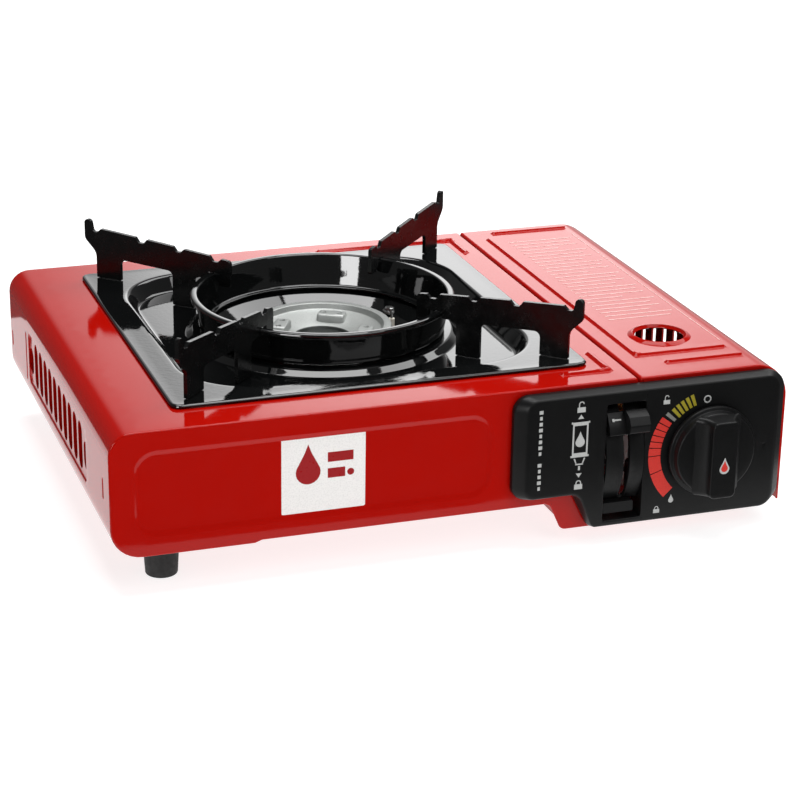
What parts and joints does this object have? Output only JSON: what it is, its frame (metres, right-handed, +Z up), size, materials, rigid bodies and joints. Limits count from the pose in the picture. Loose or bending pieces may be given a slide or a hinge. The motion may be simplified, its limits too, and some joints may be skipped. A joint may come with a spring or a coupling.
{
  "type": "portable butane camping stove",
  "caption": "Flat pressed-steel butane camping stove with a lift-off pan support, a hinged canister lid, a canister lever and a turning gas knob",
  "frame": {"origin": "on the table under the middle of the whole stove's bounding box, knob included", "axes": "+X to the stove's right (canister side), +Y to its back, +Z up; the control panel and knob face -Y"},
  "size_m": [0.34, 0.275, 0.1155],
  "materials": {
    "red_paint": "glossy red baked paint on pressed steel sheet",
    "black_enamel": "glossy black vitreous enamel on pressed steel",
    "black_plastic": "semi-gloss moulded black plastic",
    "cast_aluminium": "dull grey die cast",
    "bare_steel": "zinc plated",
    "brass": "machined",
    "rubber": "matte black",
    "ceramic": "glazed white ceramic"
  },
  "bodies": {
    "stove_body": {"body_shell": "red_paint", "base_plate": "red_paint", "heat_shield": "bare_steel", "mixing_tube": "bare_steel", "burner_screw_1": "bare_steel", "burner_screw_2": "bare_steel", "burner_screw_3": "bare_steel", "burner_bracket": "bare_steel", "regulator_plate": "bare_steel", "regulator_screw_left": "bare_steel", "regulator_screw_right": "bare_steel", "electrode_tip": "bare_steel", "panel_screw_left": "bare_steel", "panel_screw_right": "bare_steel", "lever_bracket": "bare_steel", "lever_pivot_pin": "bare_steel", "lever_spring": "bare_steel", "carriage_rivet_front": "bare_steel", "carriage_rivet_rear": "bare_steel", "lid_hinge_rod": "bare_steel", "hinge_bracket_front": "bare_steel", "hinge_bracket_rear": "bare_steel", "foot_screw_front_left": "bare_steel", "foot_screw_back_left": "bare_steel", "foot_screw_front_right": "bare_steel", "foot_screw_back_right": "bare_steel", "drip_tray": "black_enamel", "burner_cap": "cast_aluminium", "burner_cup": "cast_aluminium", "regulator_body": "cast_aluminium", "gas_jet": "brass", "canister_socket": "brass", "gas_pipe": "brass", "canister_seal": "rubber", "ignition_lead": "rubber", "foot_front_left": "rubber", "foot_back_left": "rubber", "foot_front_right": "rubber", "foot_back_right": "rubber", "piezo_igniter": "black_plastic", "control_panel": "black_plastic", "lever_guide": "black_plastic", "electrode_insulator": "ceramic"},
    "canister_lid": {"canister_lid": "red_paint"},
    "knob": {"control_knob": "black_plastic", "valve_spindle": "bare_steel"},
    "lever": {"lever_arm": "bare_steel", "lever_tab": "black_plastic", "lever_drive_pin": "bare_steel"},
    "carriage": {"canister_carriage": "bare_steel"},
    "pan_support": {"pan_support_ring": "black_enamel", "pan_support_arm_back_right": "black_enamel", "pan_support_arm_back_left": "black_enamel", "pan_support_arm_front_left": "black_enamel", "pan_support_arm_front_right": "black_enamel"}
  },
  "joints": [
    {"name": "lid_hinge", "type": "hinge", "parent": "stove_body", "child": "canister_lid", "pos_m": [0.164, 0.0125, 0.013], "axis": [0, 1, 0], "range_deg": [0, 90]},
    {"name": "knob_turn", "type": "hinge", "parent": "stove_body", "child": "knob", "pos_m": [0.1255, -0.12, 0.0443], "axis": [0, -1, 0], "range_deg": [0, 135]},
    {"name": "lever_turn", "type": "hinge", "parent": "stove_body", "child": "lever", "pos_m": [0.0809, -0.0845, 0.043], "axis": [1, 0, 0], "range_deg": [0, 50]},
    {"name": "carriage_slide", "type": "slide", "parent": "stove_body", "child": "carriage", "axis": [0, -1, 0], "range_m": [0, 0.0073]},
    {"name": "pan_support_lift", "type": "slide", "parent": "stove_body", "child": "pan_support", "axis": [0, 0, 1], "range_m": [0, 0.06]}
  ],
  "couplings": [
    {"joint": "carriage_slide", "follows": "lever_turn", "m_per_rad": 0.0082}
  ]
}
